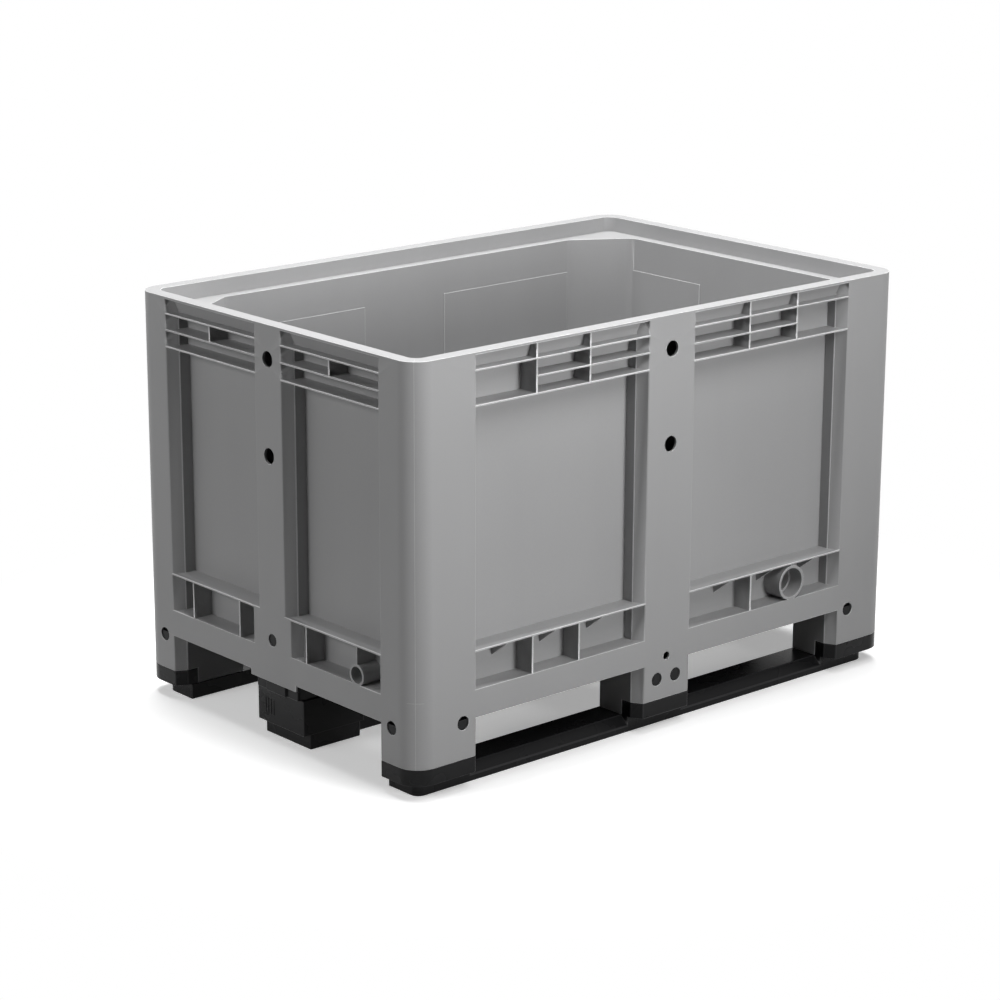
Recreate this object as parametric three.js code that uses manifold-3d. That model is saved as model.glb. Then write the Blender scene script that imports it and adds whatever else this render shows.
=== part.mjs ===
// Bulk pallet box: an open tub moulded in one piece, with ribbed sides, hollow columns and
// hollow feet, carried on three dark runners whose tongues snap into the feet.
// Millimetres, +Z up, origin on the ground under the middle of the box. The long side runs
// along X; the front is -Y and has the large outlet, the left end is -X and has the small one.

import * as THREE from 'three';
import { mergeVertices } from 'three/addons/utils/BufferGeometryUtils.js';
import Module from 'manifold-3d';

// Overall box
const length = 1200;
const width = 800;
const height = 780;
const cornerRadius = 42;
const wall = 5;
const clearance = 0.3;

// Stacking rim: the base of the next box drops inside it and rests on the ledge
const rimWidth = 27;
const rimDepth = 30;
const rimCornerRadius = 20;
const rimSlant = 8;

// Tub: its corners are cut off to make room for the posts
const cornerCutLong = 117;
const cornerCutShort = 70;
const tubRadius = 25;
const floorThickness = 6.5;
const padThickness = 1.6;
const padDrop = 96.5;

// Columns and posts, as widths at the outer face
const postLong = 138;
const postShort = 91.5;
const columnLong = 114;
const columnShort = 76;
const columnShortLow = 110;

// Recessed panels between them, and the shallower cells above and below each panel
const recessDepth = 44;
const cellDepth = 40.5;
const chamferRun = 12.5;
const chamferDepth = 21;
const ribThickness = 3.5;
const ribPitch = 31;
const upperRibsLong = [198.5, 323.5];
const upperRibShort = 173.5;
const lowerRibsLong = [218.5, 329.5];
const lowerRibsShort = [99, 242.5];
const gussetsLong = [162, 276, 389];
const gussetsShort = [166];
const gussetHeightLong = 32;
const gussetHeightShort = 21;

// Heights from the ground up
const baseHeight = 29;
const lipHeight = 30;
const forkHeight = 100;
const apronHeight = 51.5;
const bandHeight = 68.5;

// Feet and the grid of ribs under the floor
const footDepth = 104;
const gridRib = 4;
const gridCellsLong = 4;
const gridCellsShort = 6;
const tabHeight = 11;
const tabWidth = 134;

// Outlets: a tube from the panel to the outer face, stepped and closed by the tub wall
const largeOutlet = { outer: 67, bore: 57, seat: 48, level: 213 };
const smallOutlet = { outer: 39.5, bore: 31, seat: 24, level: 197 };
const outletBoreDepth = 30;

// Round holes in the columns and the feet
const columnHole = 29.5;
const columnHoleDrops = [62.5, 238];
const lugHole = 26;
const postHoleLong = 109.5;
const postHoleShort = 62.5;
const postHoleLevel = 126;
const footHoleOffset = 23.5;
const footHoleLevel = 99;
const drainHole = 16;
const drainHoleLevel = 140;
const endHole = 24;
const endHoleLevel = 199;

// Runners
const baseInset = 28.5;
const baseOverhang = 2;
const baseRadius = 16;
const slopeRise = 17;
const slopeRun = 18;
const tongueThickness = 6;
const tongueLong = 46;
const tongueShort = 38;
const footTongue = 86;
const tongueAboveLug = 5;
const footTongueAboveLug = 18;
const lugReach = 3;

// Middle runner: a tall block under each end and under the centre, joined by a low rail
const blockWidth = 136;
const blockHeight = 67;
const blockInset = 16;
const blockLength = 139;
const blockBaseStep = 16;
const blockBaseInset = 2;
const crownWidth = 120;
const crownInset = 9;
const railWidth = 88;
const endTongueWidth = 56;
const gripRibs = { count: 4, pitch: 8, width: 2.5, proud: 1, bottom: 46, top: 76, start: 20 };

// Levels that follow from the sizes above
const footBottom = baseHeight + lipHeight;
const underside = baseHeight + forkHeight;
const bandBottom = underside + apronHeight;
const floorBottom = bandBottom - wall;
const floorTop = floorBottom + floorThickness;
const shelfBottom = bandBottom + bandHeight;
const shelfTop = shelfBottom + ribThickness;
const ledge = height - rimDepth;
const rimFlange = height - wall;
const padTop = height - padDrop;
const blockTop = baseHeight + blockHeight;
const crownTop = underside - clearance;

// Plan distances from the middle that follow from them
const halfLength = length / 2;
const halfWidth = width / 2;
const panelX = halfLength - recessDepth;
const panelY = halfWidth - recessDepth;
const postEdgeX = halfLength - postLong;
const postEdgeY = halfWidth - postShort;
const footInnerX = postEdgeX - chamferRun;
const footInnerY = halfWidth - footDepth;
const overcut = 1;

const { Manifold, Mesh } = await Module().then((library) => {
  library.setup();
  return library;
});

function solid(geometry) {
  geometry.deleteAttribute('normal');
  geometry.deleteAttribute('uv');
  const merged = mergeVertices(geometry);
  return new Manifold(new Mesh({
    numProp: 3,
    vertProperties: merged.attributes.position.array,
    triVerts: Uint32Array.from(merged.index.array),
  }));
}

function joined(solids) {
  return solids.reduce((sum, next) => sum.add(next));
}

function box([x0, x1], [y0, y1], [z0, z1]) {
  const geometry = new THREE.BoxGeometry(x1 - x0, y1 - y0, z1 - z0);
  geometry.translate((x0 + x1) / 2, (y0 + y1) / 2, (z0 + z1) / 2);
  return solid(geometry);
}

function extruded(outline, depth) {
  const shape = new THREE.Shape(outline.map(([x, y]) => new THREE.Vector2(x, y)));
  return new THREE.ExtrudeGeometry(shape, { depth, bevelEnabled: false });
}

// An outline in plan, standing between two levels
function prism(outline, [bottom, top]) {
  return solid(extruded(outline, top - bottom).translate(0, 0, bottom));
}

// An outline in Y and Z, running along X
function bar(outline, [x0, x1]) {
  const turn = new THREE.Matrix4().set(0, 0, 1, x0, 1, 0, 0, 0, 0, 1, 0, 0, 0, 0, 0, 1);
  return solid(extruded(outline, x1 - x0).applyMatrix4(turn));
}

// Each corner of a counter-clockwise outline becomes an arc
function filleted(corners, radius, steps = 6) {
  const points = corners.map(([x, y]) => new THREE.Vector2(x, y));
  return points.flatMap((corner, i) => {
    const before = points.at(i - 1).clone().sub(corner).normalize();
    const after = points[(i + 1) % points.length].clone().sub(corner).normalize();
    const halfAngle = Math.acos(before.dot(after)) / 2;
    const bisector = before.clone().add(after).normalize();
    const centre = bisector.clone().multiplyScalar(radius / Math.sin(halfAngle)).add(corner);
    const middle = Math.atan2(-bisector.y, -bisector.x);
    const sweep = Math.PI / 2 - halfAngle;
    return Array.from({ length: steps + 1 }, (_, step) => {
      const angle = middle + sweep * ((2 * step) / steps - 1);
      return [centre.x + radius * Math.cos(angle), centre.y + radius * Math.sin(angle)];
    });
  });
}

// A counter-clockwise convex outline with every edge moved inwards
function inset(outline, distance) {
  const edges = outline.map(([x, y], i) => {
    const [nextX, nextY] = outline[(i + 1) % outline.length];
    const run = Math.hypot(nextX - x, nextY - y);
    const normal = [(y - nextY) / run, (nextX - x) / run];
    return { normal, reach: x * normal[0] + y * normal[1] + distance };
  });
  return edges.map((edge, i) => {
    const last = edges.at(i - 1);
    const cross = last.normal[0] * edge.normal[1] - last.normal[1] * edge.normal[0];
    return [
      (last.reach * edge.normal[1] - edge.reach * last.normal[1]) / cross,
      (last.normal[0] * edge.reach - edge.normal[0] * last.reach) / cross,
    ];
  });
}

function rectangle(halfX, halfY) {
  return [[-halfX, -halfY], [halfX, -halfY], [halfX, halfY], [-halfX, halfY]];
}

// The same outline in another quarter of the plan, still counter-clockwise
function mirrored(outline, signX, signY) {
  const flipped = outline.map(([x, y]) => [x * signX, y * signY]);
  return signX * signY < 0 ? flipped.reverse() : flipped;
}

const quarters = [[1, 1], [1, -1], [-1, 1], [-1, -1]];
const signs = [-1, 1];

// The four faces: u runs along the face and v runs inwards from it
const faces = {
  front: { long: true, at: (u, v) => [u, v - halfWidth] },
  back: { long: true, at: (u, v) => [u, halfWidth - v] },
  left: { long: false, at: (u, v) => [v - halfLength, u] },
  right: { long: false, at: (u, v) => [halfLength - v, u] },
};

// A block on a face, given by its ranges along the face, inwards and in height
function faceBox(face, [u0, u1], [v0, v1], levels) {
  const [a, b] = [face.at(u0, v0), face.at(u1, v1)];
  const range = (i) => [Math.min(a[i], b[i]), Math.max(a[i], b[i])];
  return box(range(0), range(1), levels);
}

// A round bar standing square to a face
function faceRound(face, u, level, diameter, [v0, v1], segments = 24) {
  const geometry = new THREE.CylinderGeometry(diameter / 2, diameter / 2, v1 - v0, segments);
  if (!face.long) geometry.rotateZ(Math.PI / 2);
  const [x, y] = face.at(u, (v0 + v1) / 2);
  return solid(geometry.translate(x, y, level));
}

// One bay cut into a face; its sides are chamfered where they meet a column or a post
function bay(face, side, { start, end, startsAtColumn, endsAtColumn }, levels, depth) {
  const opening = [[start, -overcut]];
  if (startsAtColumn) opening.push([start, 0], [start + chamferRun, chamferDepth]);
  opening.push([start + (startsAtColumn ? chamferRun : 0), depth]);
  opening.push([end - (endsAtColumn ? chamferRun : 0), depth]);
  if (endsAtColumn) opening.push([end - chamferRun, chamferDepth], [end, 0]);
  opening.push([end, -overcut]);
  return prism(opening.map(([u, v]) => face.at(side * u, v)), levels);
}

// The bays between a column edge and a post edge, parted by upright ribs
function row(face, side, edges, ribs, levels, depth) {
  const stops = [edges[0], ...ribs, edges[1]];
  return stops.slice(1).map((stop, i) => bay(face, side, {
    start: i === 0 ? stops[i] : stops[i] + ribThickness / 2,
    end: i === ribs.length ? stop : stop - ribThickness / 2,
    startsAtColumn: i === 0,
    endsAtColumn: i === ribs.length,
  }, levels, depth));
}

// Levels between which each row of bays lies, from the rim down
const ribTops = [0, 1, 2].map((i) => ledge - i * ribPitch);
const rowLevels = {
  rim: [ledge, rimFlange],
  second: [ribTops[1], ribTops[0] - ribThickness],
  third: [ribTops[2], ribTops[1] - ribThickness],
  panel: [shelfTop, ribTops[2] - ribThickness],
  band: [bandBottom, shelfBottom],
};

function longBays(face, side) {
  const edges = [columnLong / 2, postEdgeX];
  const tallBay = {
    start: upperRibsLong[1] + ribThickness / 2, end: postEdgeX, endsAtColumn: true,
  };
  return [
    ...row(face, side, edges, upperRibsLong, rowLevels.rim, rimWidth - wall),
    ...row(face, side, edges, upperRibsLong, rowLevels.second, cellDepth),
    ...row(face, side, edges, upperRibsLong, rowLevels.third, cellDepth),
    bay(face, side, tallBay, [rowLevels.third[0], rowLevels.second[1]], cellDepth),
    ...row(face, side, edges, [], rowLevels.panel, recessDepth),
    ...row(face, side, edges, lowerRibsLong, rowLevels.band, cellDepth),
  ];
}

function shortBays(face, side) {
  const edges = [columnShort / 2, postEdgeY];
  const lowEdges = [columnShortLow / 2, postEdgeY];
  return [
    ...row(face, side, edges, [], rowLevels.rim, rimWidth - wall),
    ...row(face, side, edges, [upperRibShort], rowLevels.second, cellDepth),
    ...row(face, side, edges, [], rowLevels.third, cellDepth),
    ...row(face, side, edges, [], rowLevels.panel, recessDepth),
    ...row(face, side, lowEdges, lowerRibsShort, rowLevels.band, cellDepth),
  ];
}

// The back of the rim's bays leans outwards from the ledge to the top
function rimSlope(face, side) {
  const [start, end] = face.long
    ? [columnLong / 2, postEdgeX]
    : [columnShort / 2, postEdgeY];
  const back = rimWidth - wall;
  const top = back - rimSlant;
  const chamferAt = (depth) => (chamferRun * Math.min(depth, chamferDepth)) / chamferDepth;
  const slope = [[back, ledge], [back + overcut, ledge], [back + overcut, rimFlange],
    [top, rimFlange]];
  return Manifold.hull(slope.flatMap(([depth, level]) => {
    const tuck = chamferAt(depth) - wall / 2;
    return [start + tuck, end - tuck].map((u) => [...face.at(side * u, depth), level]);
  }));
}

// A small triangular gusset under the shelf, from the panel out to the shelf's edge
function gusset(face, u) {
  const half = ribThickness / 2;
  const low = shelfBottom - (face.long ? gussetHeightLong : gussetHeightShort);
  const high = shelfBottom + ribThickness / 2;
  const points = [];
  for (const along of [u - half, u + half]) {
    points.push([...face.at(along, 0), high], [...face.at(along, 0), shelfBottom]);
    points.push([...face.at(along, cellDepth + overcut), low]);
    points.push([...face.at(along, cellDepth + overcut), high]);
  }
  return Manifold.hull(points);
}

// Plan outlines of the posts and columns in the first quarter, seen from above
const cornerPlan = [
  [footInnerX, footInnerY],
  [halfLength - chamferDepth, footInnerY],
  [halfLength, postEdgeY],
  ...Array.from({ length: 9 }, (_, step) => {
    const angle = (step / 8) * (Math.PI / 2);
    return [
      halfLength - cornerRadius + cornerRadius * Math.cos(angle),
      halfWidth - cornerRadius + cornerRadius * Math.sin(angle),
    ];
  }),
  [postEdgeX, halfWidth],
  [footInnerX, halfWidth - chamferDepth],
];
const midFootHalf = columnLong / 2 + chamferRun;
const longColumnPlan = [
  [-midFootHalf, footInnerY],
  [midFootHalf, footInnerY],
  [midFootHalf, halfWidth - chamferDepth],
  [columnLong / 2, halfWidth],
  [-columnLong / 2, halfWidth],
  [-midFootHalf, halfWidth - chamferDepth],
];
const endColumnHalf = columnShort / 2 + chamferRun;
const endColumnPlan = [
  [panelX - wall, -endColumnHalf],
  [halfLength - chamferDepth, -endColumnHalf],
  [halfLength, -columnShort / 2],
  [halfLength, columnShort / 2],
  [halfLength - chamferDepth, endColumnHalf],
  [panelX - wall, endColumnHalf],
];
const cornerPlans = quarters.map(([signX, signY]) => mirrored(cornerPlan, signX, signY));
const longColumnPlans = signs.map((sign) => mirrored(longColumnPlan, 1, sign));
const endColumnPlans = signs.map((sign) => mirrored(endColumnPlan, sign, 1));
const footPlans = [...cornerPlans, ...longColumnPlans];

const outerPlan = filleted(rectangle(halfLength, halfWidth), cornerRadius, 8);
const panelPlan = rectangle(panelX, panelY);
const rimInnerPlan = filleted(
  rectangle(halfLength - rimWidth, halfWidth - rimWidth), rimCornerRadius);
const rimOuterPlan = filleted(
  rectangle(halfLength - rimWidth + wall, halfWidth - rimWidth + wall), rimCornerRadius);

// The tub's opening, grown by a margin to give the outside of its wall
function tubPlan(margin) {
  const [x, y] = [panelX - wall, panelY - wall];
  const corners = quarters.filter(([signX, signY]) => signX * signY > 0).flatMap(([sign]) => [
    [sign * x, -sign * (y - cornerCutShort)],
    [sign * x, sign * (y - cornerCutShort)],
    [sign * (x - cornerCutLong), sign * y],
    [-sign * (x - cornerCutLong), sign * y],
  ]);
  return margin ? inset(corners, -margin) : filleted(corners, tubRadius, 4);
}

// Everything outside the tub's wall, cut away to leave the hollow posts and columns
function columnHollows() {
  const tubWall = joined([
    prism(panelPlan, [0, floorBottom]),
    prism(tubPlan(wall), [floorBottom, ledge]),
  ]);
  const rimWall = prism(rimOuterPlan, [ledge - wall - overcut, height]);
  const hollows = [...footPlans, ...endColumnPlans].map((plan) => {
    const inside = inset(plan, wall);
    return prism(inside, [0, ledge - wall]).subtract(tubWall)
      .add(prism(inside, [ledge - wall, rimFlange]).subtract(rimWall));
  });
  return joined(hollows);
}

// Ranges between parallel ribs that part a stretch into equal cells
function cells(from, to, count) {
  const cell = (to - from - (count - 1) * gridRib) / count;
  return Array.from({ length: count }, (_, i) => {
    const start = from + i * (cell + gridRib);
    return [start, start + cell];
  });
}

// Pockets under the floor, open below; those inside the feet reach down to the runners
function undersidePockets() {
  const halfRib = gridRib / 2;
  const columnRanges = [
    [halfRib, midFootHalf - wall],
    ...cells(midFootHalf, footInnerX, gridCellsLong),
    [footInnerX + wall, panelX - wall],
    [panelX, halfLength - wall],
  ];
  const rowRanges = [
    ...cells(-footInnerY, footInnerY, gridCellsShort),
    ...signs.map((sign) => [sign * (footInnerY + wall), sign * (panelY - wall)]),
    ...signs.map((sign) => [sign * panelY, sign * (halfWidth - wall)]),
  ];
  const pockets = [];
  for (const sign of signs) {
    for (const [nearX, farX] of columnRanges) {
      for (const rows of rowRanges) {
        const beyondFeet = Math.min(Math.abs(rows[0]), Math.abs(rows[1])) > footInnerY;
        const inFoot = beyondFeet && (nearX > footInnerX || farX < midFootHalf);
        const inChannel = nearX >= panelX || Math.abs(rows[0]) >= panelY;
        if (inFoot && inChannel) continue;
        const columns = [sign * nearX, sign * farX].sort((a, b) => a - b);
        const levels = [inFoot ? 0 : underside - overcut, floorBottom];
        pockets.push(box(columns, [...rows].sort((a, b) => a - b), levels));
      }
    }
  }
  return joined(pockets);
}

// Round holes of every face: two in each column, one in each side of a corner post,
// and the holes that the runners' lugs and the water need lower down
function roundHoles() {
  const depth = [-overcut, wall + overcut];
  const holes = [];
  for (const face of Object.values(faces)) {
    const reach = face.long ? halfLength - postHoleLong : halfWidth - postHoleShort;
    for (const drop of columnHoleDrops) {
      holes.push(faceRound(face, 0, height - drop, columnHole, depth));
    }
    for (const sign of signs) {
      holes.push(faceRound(face, sign * reach, postHoleLevel, lugHole, depth));
      if (face.long) {
        holes.push(faceRound(face, sign * footHoleOffset, footHoleLevel, lugHole, depth));
      }
    }
    if (face.long) holes.push(faceRound(face, 0, drainHoleLevel, drainHole, depth, 16));
    else holes.push(faceRound(face, 0, endHoleLevel, endHole, depth));
  }
  return joined(holes);
}

// The two outlets stand on the lower ribs of the front and of the left end
const outlets = [
  { face: faces.front, u: lowerRibsLong[1], size: largeOutlet },
  { face: faces.left, u: -lowerRibsShort[1], size: smallOutlet },
];

function withOutlets(body) {
  return outlets.reduce((sum, { face, u, size }) => {
    const tube = faceRound(face, u, size.level, size.outer, [0, recessDepth + overcut], 40);
    const bore = faceRound(face, u, size.level, size.bore, [-overcut, outletBoreDepth], 40);
    const seat = faceRound(face, u, size.level, size.seat, [0, recessDepth], 32);
    return sum.add(tube).subtract(bore.add(seat));
  }, body);
}

// Shallow pads that thicken the tub's wall behind the panels
function innerPads() {
  const levels = [floorTop - overcut, padTop];
  const pads = [];
  for (const face of Object.values(faces)) {
    const inner = recessDepth + wall;
    const start = (face.long ? columnLong : columnShort) / 2 + recessDepth;
    const end = face.long
      ? panelX - wall - cornerCutLong - padThickness
      : panelY - wall - cornerCutShort - padThickness;
    for (const sign of signs) {
      pads.push(faceBox(
        face, [sign * start, sign * end], [inner - overcut, inner + padThickness], levels));
    }
  }
  return joined(pads);
}

function boxBody() {
  const upper = prism(outerPlan, [underside, height]);
  const feet = joined(footPlans.map((plan) => {
    const innerFoot = prism(plan, [baseHeight + clearance, footBottom])
      .intersect(prism(panelPlan, [0, footBottom]));
    return prism(plan, [footBottom, underside]).add(innerFoot);
  }));
  const tabs = joined([faces.left, faces.right].map((face) => faceBox(
    face, [-tabWidth / 2, tabWidth / 2], [0, wall], [underside - tabHeight, underside + wall])));
  const bays = Object.values(faces).flatMap((face) => signs.flatMap((side) =>
    (face.long ? longBays(face, side) : shortBays(face, side))));
  const gussets = Object.values(faces).flatMap((face) => signs.flatMap((side) =>
    (face.long ? gussetsLong : gussetsShort).map((u) => gusset(face, side * u))));
  const rimSlopes = Object.values(faces).flatMap((face) =>
    signs.map((side) => rimSlope(face, side)));
  const hollow = joined([
    ...bays,
    prism(tubPlan(0), [floorTop, ledge + overcut]),
    prism(rimInnerPlan, [ledge, height + overcut]),
    columnHollows(),
    undersidePockets(),
    roundHoles(),
  ]);
  const shell = joined([upper, feet, tabs]).subtract(hollow);
  return withOutlets(joined([shell, ...rimSlopes, ...gussets, innerPads()]));
}

// A tongue behind the skin of a face, with a lug that reaches into each hole
function tongue(face, us, tongueWidth, level, aboveLug, bottom) {
  const top = level + aboveLug;
  const middle = us.reduce((sum, u) => sum + u) / us.length;
  const back = wall + clearance + tongueThickness;
  const plate = faceBox(face, [middle - tongueWidth / 2, middle + tongueWidth / 2],
    [wall + clearance, back], [bottom, top]);
  const below = faceBox(face, [middle - tongueWidth, middle + tongueWidth],
    [0, back], [bottom, top]);
  const lugs = us.map((u) => faceRound(face, u, level, lugHole - 2 * clearance,
    [wall - lugReach, back]).intersect(below));
  return joined([plate, ...lugs]);
}

// Runner under one long side: a base rail inside the outer faces, and on it a lip that
// follows the outline of each foot and carries the tongues
function sideRunner(side) {
  const face = side < 0 ? faces.front : faces.back;
  const outer = halfWidth - baseInset;
  const inner = footInnerY - baseOverhang;
  const end = halfLength - baseInset;
  const rail = prism(mirrored(
    filleted([[-end, inner], [end, inner], [end, outer], [-end, outer]], baseRadius, 4), 1, side),
    [0, baseHeight]);
  const innerHalf = [side * inner, side * (outer - baseRadius)].sort((a, b) => a - b);
  const squareCorners = box([-end, end], innerHalf, [0, baseHeight]);
  const slopeFoot = baseHeight - slopeRise;
  const slope = [
    [outer + overcut, slopeFoot],
    [outer + overcut, baseHeight + overcut],
    [outer - slopeRun, baseHeight + overcut],
    [outer - slopeRun, baseHeight],
    [outer, slopeFoot],
  ].map(([y, z]) => [side * y, z]);
  const slopes = signs.map((sign) => bar(
    slope, [sign * midFootHalf, sign * footInnerX].sort((a, b) => a - b)));
  const inside = prism(inset(panelPlan, -clearance), [0, height]);
  const lips = [
    ...quarters.filter(([, signY]) => signY === side)
      .map(([signX]) => mirrored(cornerPlan, signX, side)),
    mirrored(longColumnPlan, 1, side),
  ].map((plan) => prism(plan, [baseHeight, footBottom - clearance]).subtract(inside));
  const tongueBottom = footBottom - lipHeight / 2;
  const tongues = signs.flatMap((sign) => [
    tongue(face, [sign * (halfLength - postHoleLong)], tongueLong,
      postHoleLevel, tongueAboveLug, tongueBottom),
    tongue(sign < 0 ? faces.left : faces.right, [side * (halfWidth - postHoleShort)],
      tongueShort, postHoleLevel, tongueAboveLug, tongueBottom),
  ]);
  tongues.push(tongue(face, [-footHoleOffset, footHoleOffset], footTongue,
    footHoleLevel, footTongueAboveLug, tongueBottom));
  return joined([rail.add(squareCorners).subtract(joined(slopes)), ...lips, ...tongues]);
}

// Grip ribs on the outer face of an end block
function gripRibSolids(outerX) {
  return Array.from({ length: gripRibs.count }, (_, i) => {
    const y = gripRibs.start + i * gripRibs.pitch;
    return [[outerX - gripRibs.width, outerX + gripRibs.proud], [y, y + gripRibs.width],
      [gripRibs.bottom, gripRibs.top]];
  });
}

function middleRunner() {
  const outerX = halfLength - blockInset;
  const innerX = outerX - blockLength;
  const half = blockWidth / 2;
  const railEnd = innerX + blockBaseStep;
  const rail = box([-railEnd, railEnd], [-railWidth / 2, railWidth / 2], [0, baseHeight]);
  const centre = [
    box([-midFootHalf, midFootHalf], [-half, half], [0, blockTop]),
    box([-midFootHalf, midFootHalf], [-crownWidth / 2, crownWidth / 2], [blockTop, crownTop]),
  ];
  const ends = signs.flatMap((sign) => {
    const along = (near, far) => [sign * near, sign * far].sort((a, b) => a - b);
    const face = sign < 0 ? faces.left : faces.right;
    const tonguePlate = [wall + clearance, wall + clearance + tongueThickness];
    const tongueHalf = endTongueWidth / 2;
    const baseHalf = half - blockBaseInset;
    return [
      box(along(innerX + blockBaseStep / 2, outerX - blockBaseStep), [-baseHalf, baseHalf],
        [0, baseHeight]),
      box(along(innerX, outerX), [-half, half], [baseHeight, blockTop]),
      box(along(innerX, halfLength - crownInset), [-crownWidth / 2, crownWidth / 2],
        [blockTop, crownTop]),
      faceBox(face, [-tongueHalf, tongueHalf], tonguePlate, [blockTop, endHoleLevel + endHole / 2]),
      faceRound(face, 0, endHoleLevel, endHole - 2 * clearance,
        [wall - lugReach, wall + clearance + tongueThickness / 2]),
      ...gripRibSolids(outerX).map(([x, y, z]) => box(along(...x), y, z)),
    ];
  });
  return joined([rail, ...centre, ...ends]);
}

function meshOf(name, manifold, material) {
  const { vertProperties, triVerts } = manifold.getMesh();
  const geometry = new THREE.BufferGeometry();
  geometry.setAttribute('position', new THREE.BufferAttribute(vertProperties, 3));
  geometry.setIndex(new THREE.BufferAttribute(triVerts, 1));
  geometry.computeVertexNormals();
  const mesh = new THREE.Mesh(geometry, material);
  mesh.name = name;
  return mesh;
}

const greyPlastic = new THREE.MeshStandardMaterial({ color: 0x97979a, roughness: 0.5, metalness: 0 });
const blackPlastic = new THREE.MeshStandardMaterial({ color: 0x1b1b1c, roughness: 0.42, metalness: 0 });

const group = new THREE.Group();
group.add(
  meshOf('box_body', boxBody(), greyPlastic),
  meshOf('runner_front', sideRunner(-1), blackPlastic),
  meshOf('runner_middle', middleRunner(), blackPlastic),
  meshOf('runner_back', sideRunner(1), blackPlastic),
);

export default group;
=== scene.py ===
import math

import bmesh
import bpy
import numpy as np
from mathutils import Matrix, Vector
from mathutils.geometry import delaunay_2d_cdt


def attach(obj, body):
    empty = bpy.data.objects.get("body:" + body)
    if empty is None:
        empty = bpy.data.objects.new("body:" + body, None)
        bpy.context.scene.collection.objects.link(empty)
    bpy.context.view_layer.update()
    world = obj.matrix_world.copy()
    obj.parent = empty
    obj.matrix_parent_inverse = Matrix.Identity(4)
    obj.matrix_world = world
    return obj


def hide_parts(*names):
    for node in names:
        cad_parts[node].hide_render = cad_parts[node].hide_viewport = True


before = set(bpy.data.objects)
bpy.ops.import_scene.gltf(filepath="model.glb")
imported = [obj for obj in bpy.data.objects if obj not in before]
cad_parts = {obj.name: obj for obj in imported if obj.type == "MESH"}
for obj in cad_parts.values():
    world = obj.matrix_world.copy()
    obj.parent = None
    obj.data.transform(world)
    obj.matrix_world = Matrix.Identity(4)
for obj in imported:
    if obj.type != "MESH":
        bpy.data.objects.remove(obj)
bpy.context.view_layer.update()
scene = bpy.context.scene

# The camera stands to the left of the front, a little above the rim, with a long lens, so that
# the front and the left end are both seen and a strip of the inner walls shows over the rim.
FRAME_PIXELS = 1000
FOCAL_PIXELS = 2942.97
CAMERA_PLACE = Vector((-3.60537, -4.04256, 1.89137))
CAMERA_YAW, CAMERA_PITCH, CAMERA_ROLL = 0.72044, -0.277178, 0.00351

camera = bpy.data.objects.new("camera", bpy.data.cameras.new("camera"))
camera.data.sensor_width = 36
camera.data.lens = camera.data.sensor_width * FOCAL_PIXELS / FRAME_PIXELS
camera.data.clip_end = 50
camera.matrix_world = (
    Matrix.Translation(CAMERA_PLACE)
    @ Matrix.Rotation(-CAMERA_YAW, 4, "Z")
    @ Matrix.Rotation(math.pi / 2 + CAMERA_PITCH, 4, "X")
    @ Matrix.Rotation(CAMERA_ROLL, 4, "Z")
)
scene.collection.objects.link(camera)
scene.camera = camera
scene.view_settings.view_transform = "Standard"


# The studio: a pale floor that runs out into a white background, a large soft lamp overhead, one
# above the front, a far one before the front that aims to the left, and two at the left end.
def new_material(name):
    """A material with only its output node; returns the material, its tree and that node."""
    material = bpy.data.materials.new(name)
    material.use_nodes = True
    tree = material.node_tree
    tree.nodes.clear()
    return material, tree, tree.nodes.new("ShaderNodeOutputMaterial")


def feed(tree, socket, value):
    """Sets an input to a number or colour, or links it to a socket."""
    if isinstance(value, bpy.types.NodeSocket):
        tree.links.new(value, socket)
    else:
        socket.default_value = value


def maths(tree, operation, *values, clamp=False):
    """A Math node fed with numbers or sockets; returns its result."""
    node = tree.nodes.new("ShaderNodeMath")
    node.operation = operation
    node.use_clamp = clamp
    for socket, value in zip(node.inputs, values):
        feed(tree, socket, value)
    return node.outputs[0]


def shader_node(tree, kind, **inputs):
    """A shader node with its inputs set by name, such as Base_Color; returns its output."""
    node = tree.nodes.new(kind)
    for name, value in inputs.items():
        feed(tree, node.inputs[name.replace("_", " ")], value)
    return node.outputs[0]


def blended(tree, share, first, second):
    """A Mix Shader: the share of the second shader goes from 0 to 1."""
    mix = tree.nodes.new("ShaderNodeMixShader")
    for socket, value in zip(mix.inputs, (share, first, second)):
        feed(tree, socket, value)
    return mix.outputs[0]


def looked_at(tree):
    """1 for rays that show a thing, straight, mirrored or through glass, and 0 for light."""
    rays = tree.nodes.new("ShaderNodeLightPath").outputs
    indirect = maths(tree, "MAXIMUM", rays["Is Glossy Ray"], rays["Is Transmission Ray"])
    return maths(tree, "MAXIMUM", rays["Is Camera Ray"], indirect)


FLOOR_HALF = 9.0
FLOOR_FADE_START, FLOOR_FADE_END = 0.76, 1.25
FLOOR_BOUNCE = (0.13, 0.13, 0.13, 1)
FLOOR_PAPER = (0.93, 0.93, 0.93, 1)
FLOOR_LIFT = 0.36

floor_mesh = bpy.data.meshes.new("studio_floor")
floor_mesh.from_pydata(
    [(-FLOOR_HALF, -FLOOR_HALF, 0), (FLOOR_HALF, -FLOOR_HALF, 0),
     (FLOOR_HALF, FLOOR_HALF, 0), (-FLOOR_HALF, FLOOR_HALF, 0)],
    [], [(0, 1, 2, 3)])
floor = bpy.data.objects.new("studio_floor", floor_mesh)
scene.collection.objects.link(floor)

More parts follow.
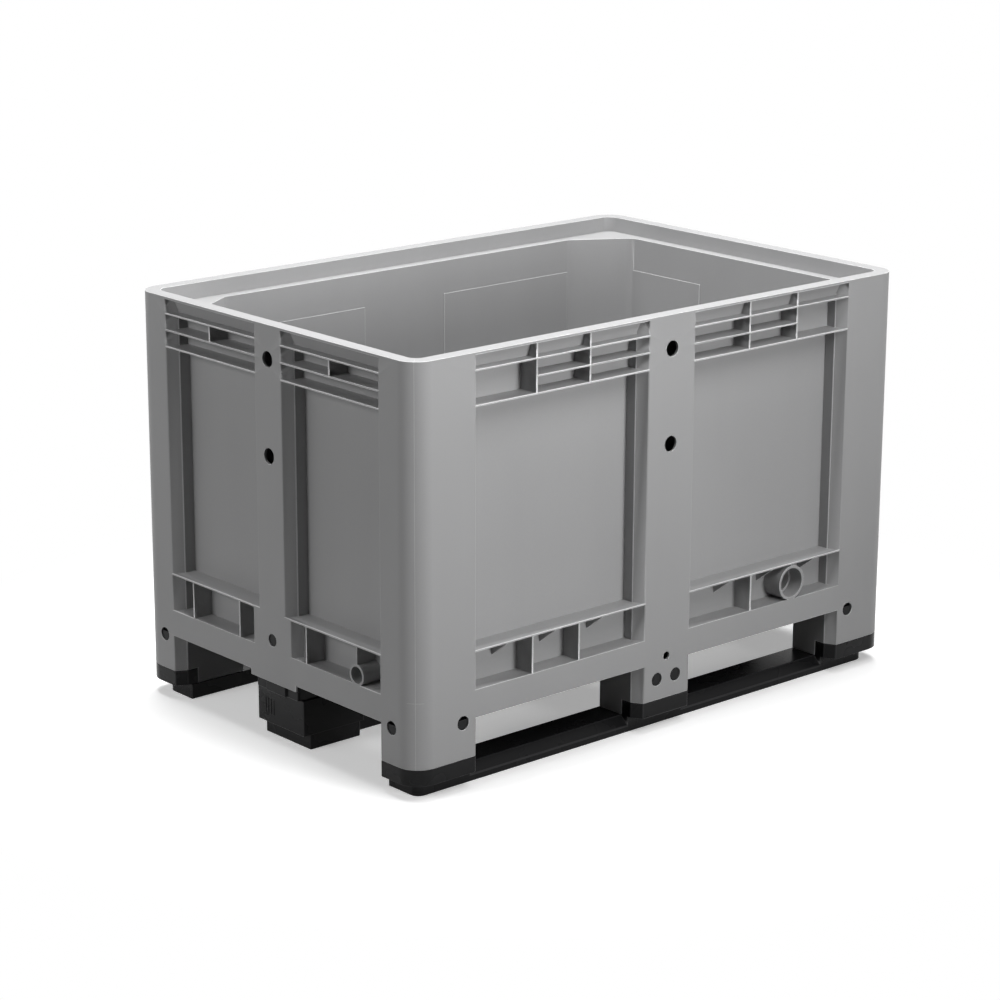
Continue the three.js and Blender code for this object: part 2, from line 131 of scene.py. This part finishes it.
floor_material, tree, output = new_material("pale_floor")
seen = looked_at(tree)
distance = tree.nodes.new("ShaderNodeVectorMath")
distance.operation = "LENGTH"
tree.links.new(tree.nodes.new("ShaderNodeTexCoord").outputs["Object"], distance.inputs[0])
fade = tree.nodes.new("ShaderNodeMapRange")
fade.interpolation_type = "SMOOTHSTEP"
feed(tree, fade.inputs["Value"], distance.outputs["Value"])
feed(tree, fade.inputs["From Min"], FLOOR_FADE_START)
feed(tree, fade.inputs["From Max"], FLOOR_FADE_END)
paper = tree.nodes.new("ShaderNodeAddShader")
feed(tree, paper.inputs[0], shader_node(tree, "ShaderNodeBsdfDiffuse", Color=FLOOR_PAPER))
feed(tree, paper.inputs[1], shader_node(tree, "ShaderNodeEmission", Strength=FLOOR_LIFT))
white = shader_node(tree, "ShaderNodeEmission", Strength=1.0)
shown = blended(tree, fade.outputs["Result"], paper.outputs[0], white)
bounce = shader_node(tree, "ShaderNodeBsdfDiffuse", Color=FLOOR_BOUNCE)
feed(tree, output.inputs["Surface"], blended(tree, seen, bounce, shown))
floor_mesh.materials.append(floor_material)

world = bpy.data.worlds.new("studio")
world.use_nodes = True
tree = world.node_tree
tree.nodes.clear()
output = tree.nodes.new("ShaderNodeOutputWorld")
room = shader_node(tree, "ShaderNodeBackground", Color=(0.97, 0.985, 1, 1), Strength=0.01)
backdrop = shader_node(tree, "ShaderNodeBackground", Color=(1, 1, 1, 1), Strength=1.0)
seen = looked_at(tree)
feed(tree, output.inputs["Surface"], blended(tree, seen, room, backdrop))
scene.world = world


def soft_lamp(name, place, target, size, watts, spread=180):
    """A square area lamp at a place, turned towards a target; a smaller spread narrows its beam."""
    lamp = bpy.data.objects.new(name, bpy.data.lights.new(name, "AREA"))
    lamp.data.shape = "SQUARE"
    lamp.data.size = size
    lamp.data.energy = watts
    lamp.data.spread = math.radians(spread)
    lamp.location = place
    lamp.rotation_euler = (Vector(target) - Vector(place)).to_track_quat("-Z", "Y").to_euler()
    scene.collection.objects.link(lamp)


soft_lamp("overhead_lamp", (0.2, 0.4, 3.6), (0, 0, 0.4), 2.4, 182)
soft_lamp("far_key_lamp", (0.6, -5.5, 1.45), (-0.75, -0.4, 1.45), 1.4, 26.5, spread=60)
soft_lamp("upper_front_lamp", (0.0, -1.7, 2.2), (0, -0.3, 0.5), 1.1, 23)
soft_lamp("left_lamp", (-4.6, 0.7, 2.3), (0, 0, 0.5), 1.4, 66)
soft_lamp("back_left_lamp", (-3.4, 1.9, 1.6), (0, 0, 0.4), 1.6, 13)


# The box: one injection moulding in satin grey polyolefin. Its outer edges are rounded off,
# most on the rim and the posts and least on the thin ribs, and the rounded edges are coloured
# much paler as a painted highlight, except the upright edges of the posts.
SHARP_ANGLE = math.radians(28)
FLAT_ANGLE = math.radians(0.4)
MERGE_DISTANCE = 1e-5
ROOM_SHARE = 0.42
LEVEL_TOLERANCE = 0.0004
FACE_SLOT, EDGE_SLOT = 0, 1
LEVEL_COSINE = math.cos(math.radians(0.5))
OUTLINE_TOLERANCE = 1e-7
SLIVER = 1e-11


def merged_solid(node):
    """A CAD node's loose triangles as one closed mesh, with the triangles of a flat face joined."""
    solid = bmesh.new()
    solid.from_mesh(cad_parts[node].data)
    bmesh.ops.remove_doubles(solid, verts=solid.verts, dist=MERGE_DISTANCE)
    bmesh.ops.dissolve_limit(
        solid, angle_limit=FLAT_ANGLE, verts=solid.verts, edges=solid.edges)
    solid.edges.index_update()
    return solid


def edge_room(edge):
    """Distance from an edge to the nearest other corner of its two faces, square to the edge."""
    start = np.array(edge.verts[0].co)
    along = np.array(edge.verts[1].co) - start
    along /= np.linalg.norm(along)
    corners = np.array([corner.co for face in edge.link_faces for corner in face.verts]) - start
    aside = np.linalg.norm(corners - np.outer(corners @ along, along), axis=1)
    return aside[aside > LEVEL_TOLERANCE].min()


def level_stretch(start, left):
    """The flat faces that are reached from one face over level edges; takes them out of left."""
    stretch, reached = {start}, [start]
    while reached:
        face = reached.pop()
        for other in {face for edge in face.edges for face in edge.link_faces} & left:
            if abs(other.normal.dot(face.normal)) > LEVEL_COSINE:
                left.discard(other)
                stretch.add(other)
                reached.append(other)
    return stretch


def inside_outline(places, ends):
    """Which places lie inside an outline, holes left out: a ray to the right crosses it an odd
    number of times. ends holds the two corners of each edge of the outline."""
    (x0, y0), (x1, y1) = np.moveaxis(ends, 0, -1)
    x, y = places[:, :1], places[:, 1:]
    spans = (y0 > y) != (y1 > y)
    rise = np.where(y1 == y0, 1, y1 - y0)
    return (spans & (x < x0 + (y - y0) / rise * (x1 - x0))).sum(axis=1) % 2 == 1


def refill(solid):
    """Fills each flat stretch between rounded edges again, with triangles inside its outline.

    Where an outline crosses itself, the nearest corner stands for the crossing.
    """
    left = {face for face in solid.faces if face.material_index == FACE_SLOT}
    while left:
        stretch = level_stretch(left.pop(), left)
        if len(stretch) == 1 and len(next(iter(stretch)).verts) <= 4:
            continue
        outline = [edge for edge in {edge for face in stretch for edge in face.edges}
                   if sum(face in stretch for face in edge.link_faces) == 1]
        corners = list({corner for edge in outline for corner in edge.verts})
        order = {corner: i for i, corner in enumerate(corners)}
        facing = sum((face.normal * face.calc_area() for face in stretch), Vector())
        level = facing.to_track_quat("Z", "Y").inverted()
        plan = [(level @ corner.co).to_2d() for corner in corners]
        ends = [[order[corner] for corner in edge.verts] for edge in outline]
        filled = delaunay_2d_cdt(plan, ends, [], 0, OUTLINE_TOLERANCE)
        plan, spots = np.array(plan), np.array(filled[0])
        nearest = np.linalg.norm(spots[:, None] - plan, axis=2).argmin(axis=1)
        triangles = nearest[np.array(filled[2])]
        sides = plan[triangles[:, 1:]] - plan[triangles[:, :1]]
        (ax, ay), (bx, by) = np.moveaxis(sides, 0, -1)
        triangles = triangles[ax * by - ay * bx > SLIVER]
        triangles = triangles[inside_outline(plan[triangles].mean(axis=1), plan[np.array(ends)])]
        bmesh.ops.delete(solid, geom=list(stretch), context="FACES_ONLY")
        for triangle in triangles:
            solid.faces.new([corners[i] for i in triangle]).smooth = True
    bmesh.ops.delete(
        solid, geom=[edge for edge in solid.edges if not edge.link_faces], context="EDGES")


def rounded_piece(name, node, wanted_radius, materials, unhighlighted=None):
    """A copy of a CAD node whose outer edges are rounded, each by what is wanted and has room.

    The last argument tells of each rounded place whether it keeps the faces' material instead of the
    painted highlight of the edges.
    """
    solid = merged_solid(node)
    sharp = [edge for edge in solid.edges if edge.calc_face_angle(0) > SHARP_ANGLE]
    outer = [edge for edge in sharp if edge.is_convex]
    middles = np.array([(edge.verts[0].co + edge.verts[1].co) / 2 for edge in outer])
    upright = np.array([abs((edge.verts[1].co - edge.verts[0].co).normalized().z) for edge in outer])
    room = ROOM_SHARE * np.array([edge_room(edge) for edge in outer])
    radius = np.minimum(wanted_radius(middles, upright), room)
    weights = np.zeros(len(solid.edges))
    weights[[edge.index for edge in outer]] = radius / radius.max()
    creased = np.zeros(len(solid.edges), bool)
    creased[[edge.index for edge in sharp if not edge.is_convex]] = True
    mesh = bpy.data.meshes.new(name)
    solid.to_mesh(mesh)
    solid.free()
    mesh.shade_smooth()
    mesh.attributes.new("bevel_weight_edge", "FLOAT", "EDGE").data.foreach_set("value", weights)
    mesh.attributes.new("sharp_edge", "BOOLEAN", "EDGE").data.foreach_set("value", creased)
    for material in materials:
        mesh.materials.append(material)
    piece = bpy.data.objects.new(name, mesh)
    scene.collection.objects.link(piece)
    bevel = piece.modifiers.new("rounded_edges", "BEVEL")
    bevel.limit_method = "WEIGHT"
    bevel.offset_type = "OFFSET"
    bevel.width = radius.max()
    bevel.segments = 2
    bevel.use_clamp_overlap = False
    # The rounded faces take the edge material, which carries the painted highlight.
    bevel.material = EDGE_SLOT
    rounded = bmesh.new()
    rounded.from_object(piece, bpy.context.evaluated_depsgraph_get())
    refill(rounded)
    if unhighlighted:
        places = np.array([face.calc_center_median() for face in rounded.faces])
        rounded.faces.ensure_lookup_table()
        for i in np.flatnonzero(unhighlighted(places)):
            rounded.faces[i].material_index = FACE_SLOT
    rounded.to_mesh(mesh)
    rounded.free()
    piece.modifiers.clear()
    shading = piece.modifiers.new("flat_faces", "WEIGHTED_NORMAL")
    shading.keep_sharp = True
    shading.weight = 100
    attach(piece, "root")
    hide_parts(node)
    return piece


def box_radius(middles, upright):
    """Wanted radius of each edge of the box, by where the middle of the edge lies."""
    x, y, z = np.abs(middles).T
    radius = np.full(len(middles), 0.0012)
    outer_face = (x > 0.599) | (y > 0.399)
    radius[outer_face & (upright > 0.9)] = 0.0025
    radius[z > 0.779] = 0.0035
    radius[(z > 0.779) & (x < 0.575) & (y < 0.375)] = 0.006
    return radius


POST_EDGES = (0.057, 0.462)
END_POST_EDGES = (0.038, 0.055, 0.3085)
POST_EDGE_REACH = 0.004


def post_edges(places):
    """Which places lie on the upright edges of the posts and columns."""
    x, y, _ = np.abs(places).T
    on_side = (y > 0.39) & (np.abs(x[:, None] - POST_EDGES) < POST_EDGE_REACH).any(axis=1)
    on_end = (x > 0.59) & (np.abs(y[:, None] - END_POST_EDGES) < POST_EDGE_REACH).any(axis=1)
    return on_side | on_end


def group_nodes(name, inputs, outputs):
    """A node group with named float, colour or vector sockets; returns its tree and both ends."""
    group = bpy.data.node_groups.new(name, "ShaderNodeTree")
    for direction, sockets in (("INPUT", inputs), ("OUTPUT", outputs)):
        for socket, kind in sockets.items():
            group.interface.new_socket(socket, in_out=direction, socket_type="NodeSocket" + kind)
    start, end = group.nodes.new("NodeGroupInput"), group.nodes.new("NodeGroupOutput")
    return group, start.outputs, end.inputs


def noise(tree, place, scale, detail=2.0, stretch=None):
    """Noise from 0 to 1 at so many waves a metre, stretched by a factor along each axis."""
    if stretch:
        mapping = tree.nodes.new("ShaderNodeMapping")
        mapping.inputs["Scale"].default_value = stretch
        feed(tree, mapping.inputs["Vector"], place)
        place = mapping.outputs["Vector"]
    node = tree.nodes.new("ShaderNodeTexNoise")
    feed(tree, node.inputs["Vector"], place)
    feed(tree, node.inputs["Scale"], scale)
    feed(tree, node.inputs["Detail"], detail)
    return node.outputs["Fac"]


def around_zero(tree, value, amount):
    """Turns 0 to 1 into plus or minus the amount."""
    return maths(tree, "MULTIPLY", maths(tree, "MULTIPLY_ADD", value, 2.0, -1.0), amount)


# Tone of a moulding: broad mottling, flow streaks up the walls, and fine specks of pigment
tone, given, result = group_nodes(
    "moulding_tone",
    {"Vector": "Vector", "Colour": "Color", "Mottle": "Float", "Streaks": "Float", "Specks": "Float"},
    {"Colour": "Color"})
spread = maths(tone, "ADD", around_zero(tone, noise(tone, given["Vector"], 3.2), given["Mottle"]),
               around_zero(tone, noise(tone, given["Vector"], 14, 3, (1, 1, 0.07)), given["Streaks"]))
speckle = around_zero(tone, noise(tone, given["Vector"], 650, 1), given["Specks"])
spread = maths(tone, "ADD", spread, speckle)
tinted = tone.nodes.new("ShaderNodeVectorMath")
tinted.operation = "SCALE"
feed(tone, tinted.inputs[0], given["Colour"])
feed(tone, tinted.inputs["Scale"], maths(tone, "ADD", spread, 1.0))
feed(tone, result["Colour"], tinted.outputs[0])

# Skin of a moulding: a fine etched grain, a shallow orange peel, and sink over thick places
GLOSS_SPREAD = 0.06
skin, given, result = group_nodes(
    "moulding_skin",
    {"Vector": "Vector", "Grain": "Float", "Peel": "Float", "Sink": "Float", "Roughness": "Float"},
    {"Height": "Float", "Roughness": "Float"})
grained = maths(skin, "MULTIPLY", noise(skin, given["Vector"], 420, 2), given["Grain"])
height = maths(skin, "ADD", grained,
               maths(skin, "MULTIPLY", noise(skin, given["Vector"], 70, 2), given["Peel"]))
sunk = maths(skin, "MULTIPLY", noise(skin, given["Vector"], 5, 1), given["Sink"])
height = maths(skin, "ADD", height, sunk)
feed(skin, result["Height"], height)
gloss = around_zero(skin, noise(skin, given["Vector"], 9, 3), GLOSS_SPREAD)
feed(skin, result["Roughness"], maths(skin, "ADD", given["Roughness"], gloss, clamp=True))


def moulded_plastic(name, colour, roughness, specular, grain, mottle, seams=None):
    """A moulded plastic from the two groups above; seams adds the mould's parting lines."""
    material, tree, output = new_material(name)
    place = tree.nodes.new("ShaderNodeTexCoord").outputs["Object"]
    toned = tree.nodes.new("ShaderNodeGroup")
    toned.node_tree = tone
    for socket, value in zip(toned.inputs, (place, colour, mottle, mottle * 0.6, mottle * 0.7)):
        feed(tree, socket, value)
    surface = tree.nodes.new("ShaderNodeGroup")
    surface.node_tree = skin
    for socket, value in zip(surface.inputs, (place, grain, grain * 1.6, grain * 16, roughness)):
        feed(tree, socket, value)
    shown, height = toned.outputs["Colour"], surface.outputs["Height"]
    if seams:
        line = seams(tree, place)
        height = maths(tree, "ADD", height, maths(tree, "MULTIPLY", line, SEAM_PROUD))
        pale = tree.nodes.new("ShaderNodeMix")
        pale.data_type = "RGBA"
        feed(tree, pale.inputs[0], maths(tree, "MULTIPLY", line, SEAM_SHOWS))
        feed(tree, pale.inputs[6], shown)
        feed(tree, pale.inputs[7], SEAM_COLOUR)
        shown = pale.outputs[2]
    bump = tree.nodes.new("ShaderNodeBump")
    bump.inputs["Distance"].default_value = 1.0
    feed(tree, bump.inputs["Height"], height)
    shader = tree.nodes.new("ShaderNodeBsdfPrincipled")
    feed(tree, shader.inputs["Base Color"], shown)
    feed(tree, shader.inputs["Roughness"], surface.outputs["Roughness"])
    feed(tree, shader.inputs["Normal"], bump.outputs["Normal"])
    shader.inputs["Specular IOR Level"].default_value = specular
    feed(tree, output.inputs["Surface"], shader.outputs[0])
    return material


GREY = (0.335, 0.335, 0.338, 1)
# The edge colour below is a painted highlight: the rounded edges are coloured about twice as pale as
# the faces.
GREY_HIGHLIGHT_EDGE = (0.70, 0.70, 0.705, 1)
SEAM_PROUD = 0.00012
SEAM_SHOWS = 0.6
SEAM_COLOUR = (0.5, 0.5, 0.5, 1)
SEAM_HALF = 0.0007
LEVEL_SEAM_HALF = SEAM_HALF * 0.6
SEAM_LEVEL = 0.1805
CORNER_OFFSET = 0.2
CORNER_START = 0.575


def band_seams(tree, place):
    """Lines of 0 or 1 up the middle of each rounded corner, and round the corner at one level."""
    apart = tree.nodes.new("ShaderNodeSeparateXYZ")
    feed(tree, apart.inputs[0], place)
    x = maths(tree, "ABSOLUTE", apart.outputs["X"])
    y = maths(tree, "ABSOLUTE", apart.outputs["Y"])
    beyond = maths(tree, "SUBTRACT", maths(tree, "SUBTRACT", x, y), CORNER_OFFSET)
    off = maths(tree, "ABSOLUTE", beyond)
    corner = maths(tree, "MULTIPLY", maths(tree, "LESS_THAN", off, SEAM_HALF),
                   maths(tree, "GREATER_THAN", x, CORNER_START))
    rise = maths(tree, "ABSOLUTE", maths(tree, "SUBTRACT", apart.outputs["Z"], SEAM_LEVEL))
    inner = maths(tree, "MINIMUM", x, maths(tree, "ADD", y, CORNER_OFFSET))
    level = maths(tree, "MULTIPLY", maths(tree, "LESS_THAN", rise, LEVEL_SEAM_HALF),
                  maths(tree, "GREATER_THAN", inner, CORNER_START))
    return maths(tree, "MAXIMUM", corner, level)


grey_faces = moulded_plastic("grey_plastic", GREY, 0.46, 0.2, 0.00003, 0.05, band_seams)
# The edge material paints a highlight on the rounded edges.
grey_highlight_edges = moulded_plastic("grey_painted_highlight_edges", GREY_HIGHLIGHT_EDGE, 0.38, 0.3, 0.00001, 0.05)
box = rounded_piece("box", "box_body", box_radius, (grey_faces, grey_highlight_edges), post_edges)


# Three runners in black recycled plastic: mouldings with tall lips that follow the feet and
# snap into them with lugs. The middle one has a block under each end and under the centre.
BLACK = (0.009, 0.009, 0.0095, 1)
# The edge colour below is a painted highlight: the runners' rounded edges are coloured about twice as
# pale as their faces.
BLACK_HIGHLIGHT_EDGE = (0.02, 0.02, 0.021, 1)
RUNNER_RADIUS = 0.0018


def runner_radius(middles, upright):
    """Wanted radius of each edge of a runner: the same all over."""
    return np.full(len(middles), RUNNER_RADIUS)


black_faces = moulded_plastic("black_plastic", BLACK, 0.27, 0.1, 0.00003, 0.12)
# The edge material paints a highlight on the runners' rounded edges.
black_highlight_edges = moulded_plastic("black_painted_highlight_edges", BLACK_HIGHLIGHT_EDGE, 0.3, 0.15, 0.00001, 0.12)
for name, node in (("front_runner", "runner_front"), ("centre_runner", "runner_middle"),
                   ("back_runner", "runner_back")):
    runner = rounded_piece(name, node, runner_radius, (black_faces, black_highlight_edges))

bpy.context.view_layer.update()
